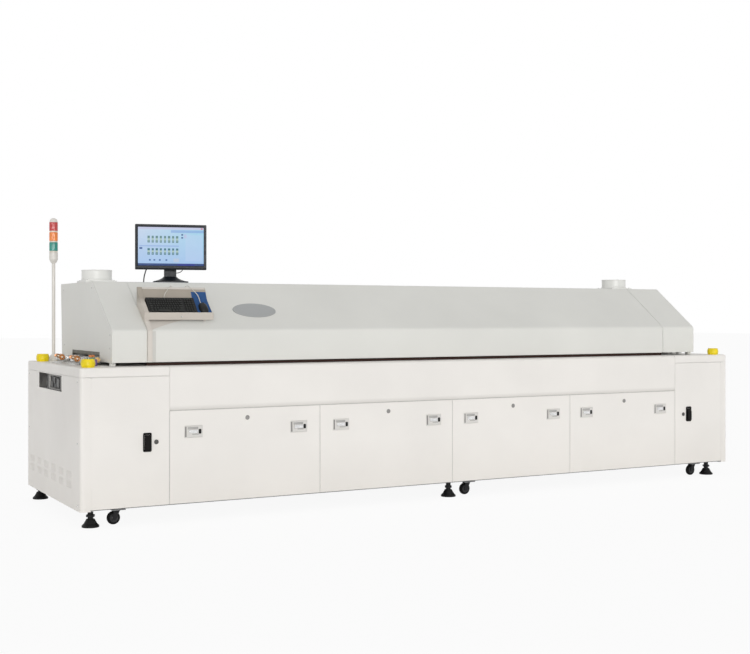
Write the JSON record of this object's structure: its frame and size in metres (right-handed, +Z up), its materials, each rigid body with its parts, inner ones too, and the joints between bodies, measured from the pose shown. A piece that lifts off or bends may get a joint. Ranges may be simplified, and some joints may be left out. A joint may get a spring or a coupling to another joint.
{
  "type": "conveyor reflow oven",
  "caption": "Long conveyor reflow oven: sheet-metal base cabinet on levelling feet and casters, lifting tunnel hood with operator console, exhaust stacks and signal tower.",
  "frame": {"origin": "on the floor, under the middle of the cabinet", "axes": "+X along the conveyor from inlet to outlet, -Y towards the operator, +Z up"},
  "size_m": [5, 1.3362, 1.864],
  "materials": {
    "cabinet_white": "fine textured powder coat",
    "hood_white": "fine textured powder coat",
    "frame_grey": "satin",
    "stack_white": "satin",
    "seal_red": "matt",
    "pin_steel": "turned",
    "zone_steel": "sheet",
    "rail_aluminium": "anodised",
    "screw_brass": "turned",
    "belt_mesh": "woven",
    "pole_white": "satin",
    "lens_plastic": "clear coloured",
    "guard_yellow": "moulded",
    "button_red": "moulded",
    "foot_rubber": "matt",
    "caster_black": "satin",
    "caster_tyre": "matt",
    "desk_black": "moulded",
    "monitor_black": "moulded",
    "cable_black": "satin",
    "cord_pale": "satin",
    "latch_chrome": "polished",
    "lever_black": "moulded"
  },
  "bodies": {
    "base": {"base_frame": "frame_grey", "left_end_panel": "cabinet_white", "right_end_panel": "cabinet_white", "front_fascia": "cabinet_white", "rear_covers": "cabinet_white", "end_deck_covers": "cabinet_white", "deck_plate": "cabinet_white", "left_hood_end": "hood_white", "right_hood_end": "hood_white", "exhaust_stacks": "stack_white", "hood_seal": "seal_red", "hood_hinge_pins": "pin_steel", "lower_zone_modules": "zone_steel", "front_rail": "rail_aluminium", "rail_guides": "pin_steel", "mesh_belt": "belt_mesh", "signal_pole": "pole_white", "signal_lenses": "lens_plastic", "estop_guards": "guard_yellow", "levelling_feet": "foot_rubber"},
    "hood": {"main_hood": "hood_white", "upper_zone_modules": "zone_steel", "keyboard_tray": "hood_white", "keyboard": "desk_black", "mouse": "desk_black", "monitor_stand": "monitor_black", "monitor_cables": "cable_black", "keyboard_cords": "cord_pale"},
    "monitor": {"monitor": "monitor_black"},
    "left_door": {"left_door": "cabinet_white"},
    "right_door": {"right_door": "cabinet_white"},
    "left_door_lever": {"left_door_lever": "lever_black"},
    "right_door_lever": {"right_door_lever": "lever_black"},
    "rear_rail": {"rear_rail": "rail_aluminium"},
    "width_screw": {"width_screw": "screw_brass"},
    "inlet_roller": {"inlet_roller": "pin_steel"},
    "outlet_roller": {"outlet_roller": "pin_steel"},
    "lower_panel_1": {"lower_panel_1": "cabinet_white"},
    "lower_panel_1_latches": {"lower_panel_1_latches": "latch_chrome"},
    "lower_panel_2": {"lower_panel_2": "cabinet_white"},
    "lower_panel_2_latches": {"lower_panel_2_latches": "latch_chrome"},
    "lower_panel_3": {"lower_panel_3": "cabinet_white"},
    "lower_panel_3_latches": {"lower_panel_3_latches": "latch_chrome"},
    "lower_panel_4": {"lower_panel_4": "cabinet_white"},
    "lower_panel_4_latches": {"lower_panel_4_latches": "latch_chrome"},
    "estop_button_left_front": {"estop_button_left_front": "button_red"},
    "estop_button_left_rear": {"estop_button_left_rear": "button_red"},
    "estop_button_right_front": {"estop_button_right_front": "button_red"},
    "caster_fork_1": {"caster_fork_1": "caster_black"},
    "caster_wheel_1": {"caster_wheel_1": "caster_tyre"},
    "caster_fork_2": {"caster_fork_2": "caster_black"},
    "caster_wheel_2": {"caster_wheel_2": "caster_tyre"},
    "caster_fork_3": {"caster_fork_3": "caster_black"},
    "caster_wheel_3": {"caster_wheel_3": "caster_tyre"},
    "caster_fork_4": {"caster_fork_4": "caster_black"},
    "caster_wheel_4": {"caster_wheel_4": "caster_tyre"},
    "caster_fork_5": {"caster_fork_5": "caster_black"},
    "caster_wheel_5": {"caster_wheel_5": "caster_tyre"},
    "caster_fork_6": {"caster_fork_6": "caster_black"},
    "caster_wheel_6": {"caster_wheel_6": "caster_tyre"}
  },
  "joints": [
    {"name": "hood_lift", "type": "hinge", "parent": "base", "child": "hood", "pos_m": [0, 0.645, 0.945], "axis": [-1, 0, 0], "range_deg": [0, 35]},
    {"name": "monitor_tilt", "type": "hinge", "parent": "hood", "child": "monitor", "pos_m": [-1.68868, 0.14735, 1.615], "axis": [-0.9703, 0.2419, 0], "range_deg": [-5, 20]},
    {"name": "left_door_swing", "type": "hinge", "parent": "base", "child": "left_door", "pos_m": [-2.43, -0.652, 0.48], "axis": [0, 0, -1], "range_deg": [0, 98]},
    {"name": "right_door_swing", "type": "hinge", "parent": "base", "child": "right_door", "pos_m": [2.43, -0.652, 0.48], "axis": [0, 0, 1], "range_deg": [0, 98]},
    {"name": "left_lever_pull", "type": "hinge", "parent": "left_door", "child": "left_door_lever", "pos_m": [-2.107, -0.6622, 0.517], "axis": [-1, 0, 0], "range_deg": [0, 45]},
    {"name": "right_lever_pull", "type": "hinge", "parent": "right_door", "child": "right_door_lever", "pos_m": [2.107, -0.6622, 0.517], "axis": [-1, 0, 0], "range_deg": [0, 45]},
    {"name": "lower_panel_1_drop", "type": "hinge", "parent": "base", "child": "lower_panel_1", "pos_m": [-1.47825, -0.648, 0.114], "axis": [1, 0, 0], "range_deg": [0, 85]},
    {"name": "lower_panel_1_latches_pull", "type": "hinge", "parent": "lower_panel_1", "child": "lower_panel_1_latches", "pos_m": [-1.47825, -0.6602, 0.534], "axis": [-1, 0, 0], "range_deg": [0, 40]},
    {"name": "lower_panel_2_drop", "type": "hinge", "parent": "base", "child": "lower_panel_2", "pos_m": [-0.49275, -0.648, 0.114], "axis": [1, 0, 0], "range_deg": [0, 85]},
    {"name": "lower_panel_2_latches_pull", "type": "hinge", "parent": "lower_panel_2", "child": "lower_panel_2_latches", "pos_m": [-0.49275, -0.6602, 0.534], "axis": [-1, 0, 0], "range_deg": [0, 40]},
    {"name": "lower_panel_3_drop", "type": "hinge", "parent": "base", "child": "lower_panel_3", "pos_m": [0.49275, -0.648, 0.114], "axis": [1, 0, 0], "range_deg": [0, 85]},
    {"name": "lower_panel_3_latches_pull", "type": "hinge", "parent": "lower_panel_3", "child": "lower_panel_3_latches", "pos_m": [0.49275, -0.6602, 0.534], "axis": [-1, 0, 0], "range_deg": [0, 40]},
    {"name": "lower_panel_4_drop", "type": "hinge", "parent": "base", "child": "lower_panel_4", "pos_m": [1.47825, -0.648, 0.114], "axis": [1, 0, 0], "range_deg": [0, 85]},
    {"name": "lower_panel_4_latches_pull", "type": "hinge", "parent": "lower_panel_4", "child": "lower_panel_4_latches", "pos_m": [1.47825, -0.6602, 0.534], "axis": [-1, 0, 0], "range_deg": [0, 40]},
    {"name": "estop_button_left_front_press", "type": "slide", "parent": "base", "child": "estop_button_left_front", "axis": [0, 0, -1], "range_m": [0, 0.005], "stiffness_N_per_m": 1500},
    {"name": "estop_button_left_rear_press", "type": "slide", "parent": "base", "child": "estop_button_left_rear", "axis": [0, 0, -1], "range_m": [0, 0.005], "stiffness_N_per_m": 1500},
    {"name": "estop_button_right_front_press", "type": "slide", "parent": "base", "child": "estop_button_right_front", "axis": [0, 0, -1], "range_m": [0, 0.005], "stiffness_N_per_m": 1500},
    {"name": "caster_1_swivel", "type": "hinge", "parent": "base", "child": "caster_fork_1", "pos_m": [-2.269, -0.6, 0.085], "axis": [0, 0, 1], "continuous": true},
    {"name": "caster_1_roll", "type": "hinge", "parent": "caster_fork_1", "child": "caster_wheel_1", "pos_m": [-2.291, -0.6, 0.041], "axis": [0, 1, 0], "continuous": true},
    {"name": "caster_2_swivel", "type": "hinge", "parent": "base", "child": "caster_fork_2", "pos_m": [0.156, -0.6, 0.085], "axis": [0, 0, 1], "continuous": true},
    {"name": "caster_2_roll", "type": "hinge", "parent": "caster_fork_2", "child": "caster_wheel_2", "pos_m": [0.134, -0.6, 0.041], "axis": [0, 1, 0], "continuous": true},
    {"name": "caster_3_swivel", "type": "hinge", "parent": "base", "child": "caster_fork_3", "pos_m": [2.202, -0.6, 0.085], "axis": [0, 0, 1], "continuous": true},
    {"name": "caster_3_roll", "type": "hinge", "parent": "caster_fork_3", "child": "caster_wheel_3", "pos_m": [2.18, -0.6, 0.041], "axis": [0, 1, 0], "continuous": true},
    {"name": "caster_4_swivel", "type": "hinge", "parent": "base", "child": "caster_fork_4", "pos_m": [-2.269, 0.6, 0.085], "axis": [0, 0, 1], "continuous": true},
    {"name": "caster_4_roll", "type": "hinge", "parent": "caster_fork_4", "child": "caster_wheel_4", "pos_m": [-2.291, 0.6, 0.041], "axis": [0, 1, 0], "continuous": true},
    {"name": "caster_5_swivel", "type": "hinge", "parent": "base", "child": "caster_fork_5", "pos_m": [0.156, 0.6, 0.085], "axis": [0, 0, 1], "continuous": true},
    {"name": "caster_5_roll", "type": "hinge", "parent": "caster_fork_5", "child": "caster_wheel_5", "pos_m": [0.134, 0.6, 0.041], "axis": [0, 1, 0], "continuous": true},
    {"name": "caster_6_swivel", "type": "hinge", "parent": "base", "child": "caster_fork_6", "pos_m": [2.202, 0.6, 0.085], "axis": [0, 0, 1], "continuous": true},
    {"name": "caster_6_roll", "type": "hinge", "parent": "caster_fork_6", "child": "caster_wheel_6", "pos_m": [2.18, 0.6, 0.041], "axis": [0, 1, 0], "continuous": true},
    {"name": "rail_width", "type": "slide", "parent": "base", "child": "rear_rail", "axis": [0, 1, 0], "range_m": [-0.27, 0.07]},
    {"name": "width_screw_turn", "type": "hinge", "parent": "base", "child": "width_screw", "pos_m": [-2.31, 0.05, 0.9475], "axis": [0, 1, 0], "range_deg": [-9800, 2600]},
    {"name": "outlet_roller_spin", "type": "hinge", "parent": "base", "child": "outlet_roller", "pos_m": [2.38, 0.05, 0.87], "axis": [0, 1, 0], "continuous": true},
    {"name": "inlet_roller_spin", "type": "hinge", "parent": "base", "child": "inlet_roller", "pos_m": [-2.38, 0.05, 0.87], "axis": [0, 1, 0], "continuous": true}
  ],
  "couplings": [
    {"joint": "width_screw_turn", "follows": "rail_width", "rad_per_m": 628.32},
    {"joint": "inlet_roller_spin", "follows": "outlet_roller_spin", "ratio": 1}
  ]
}
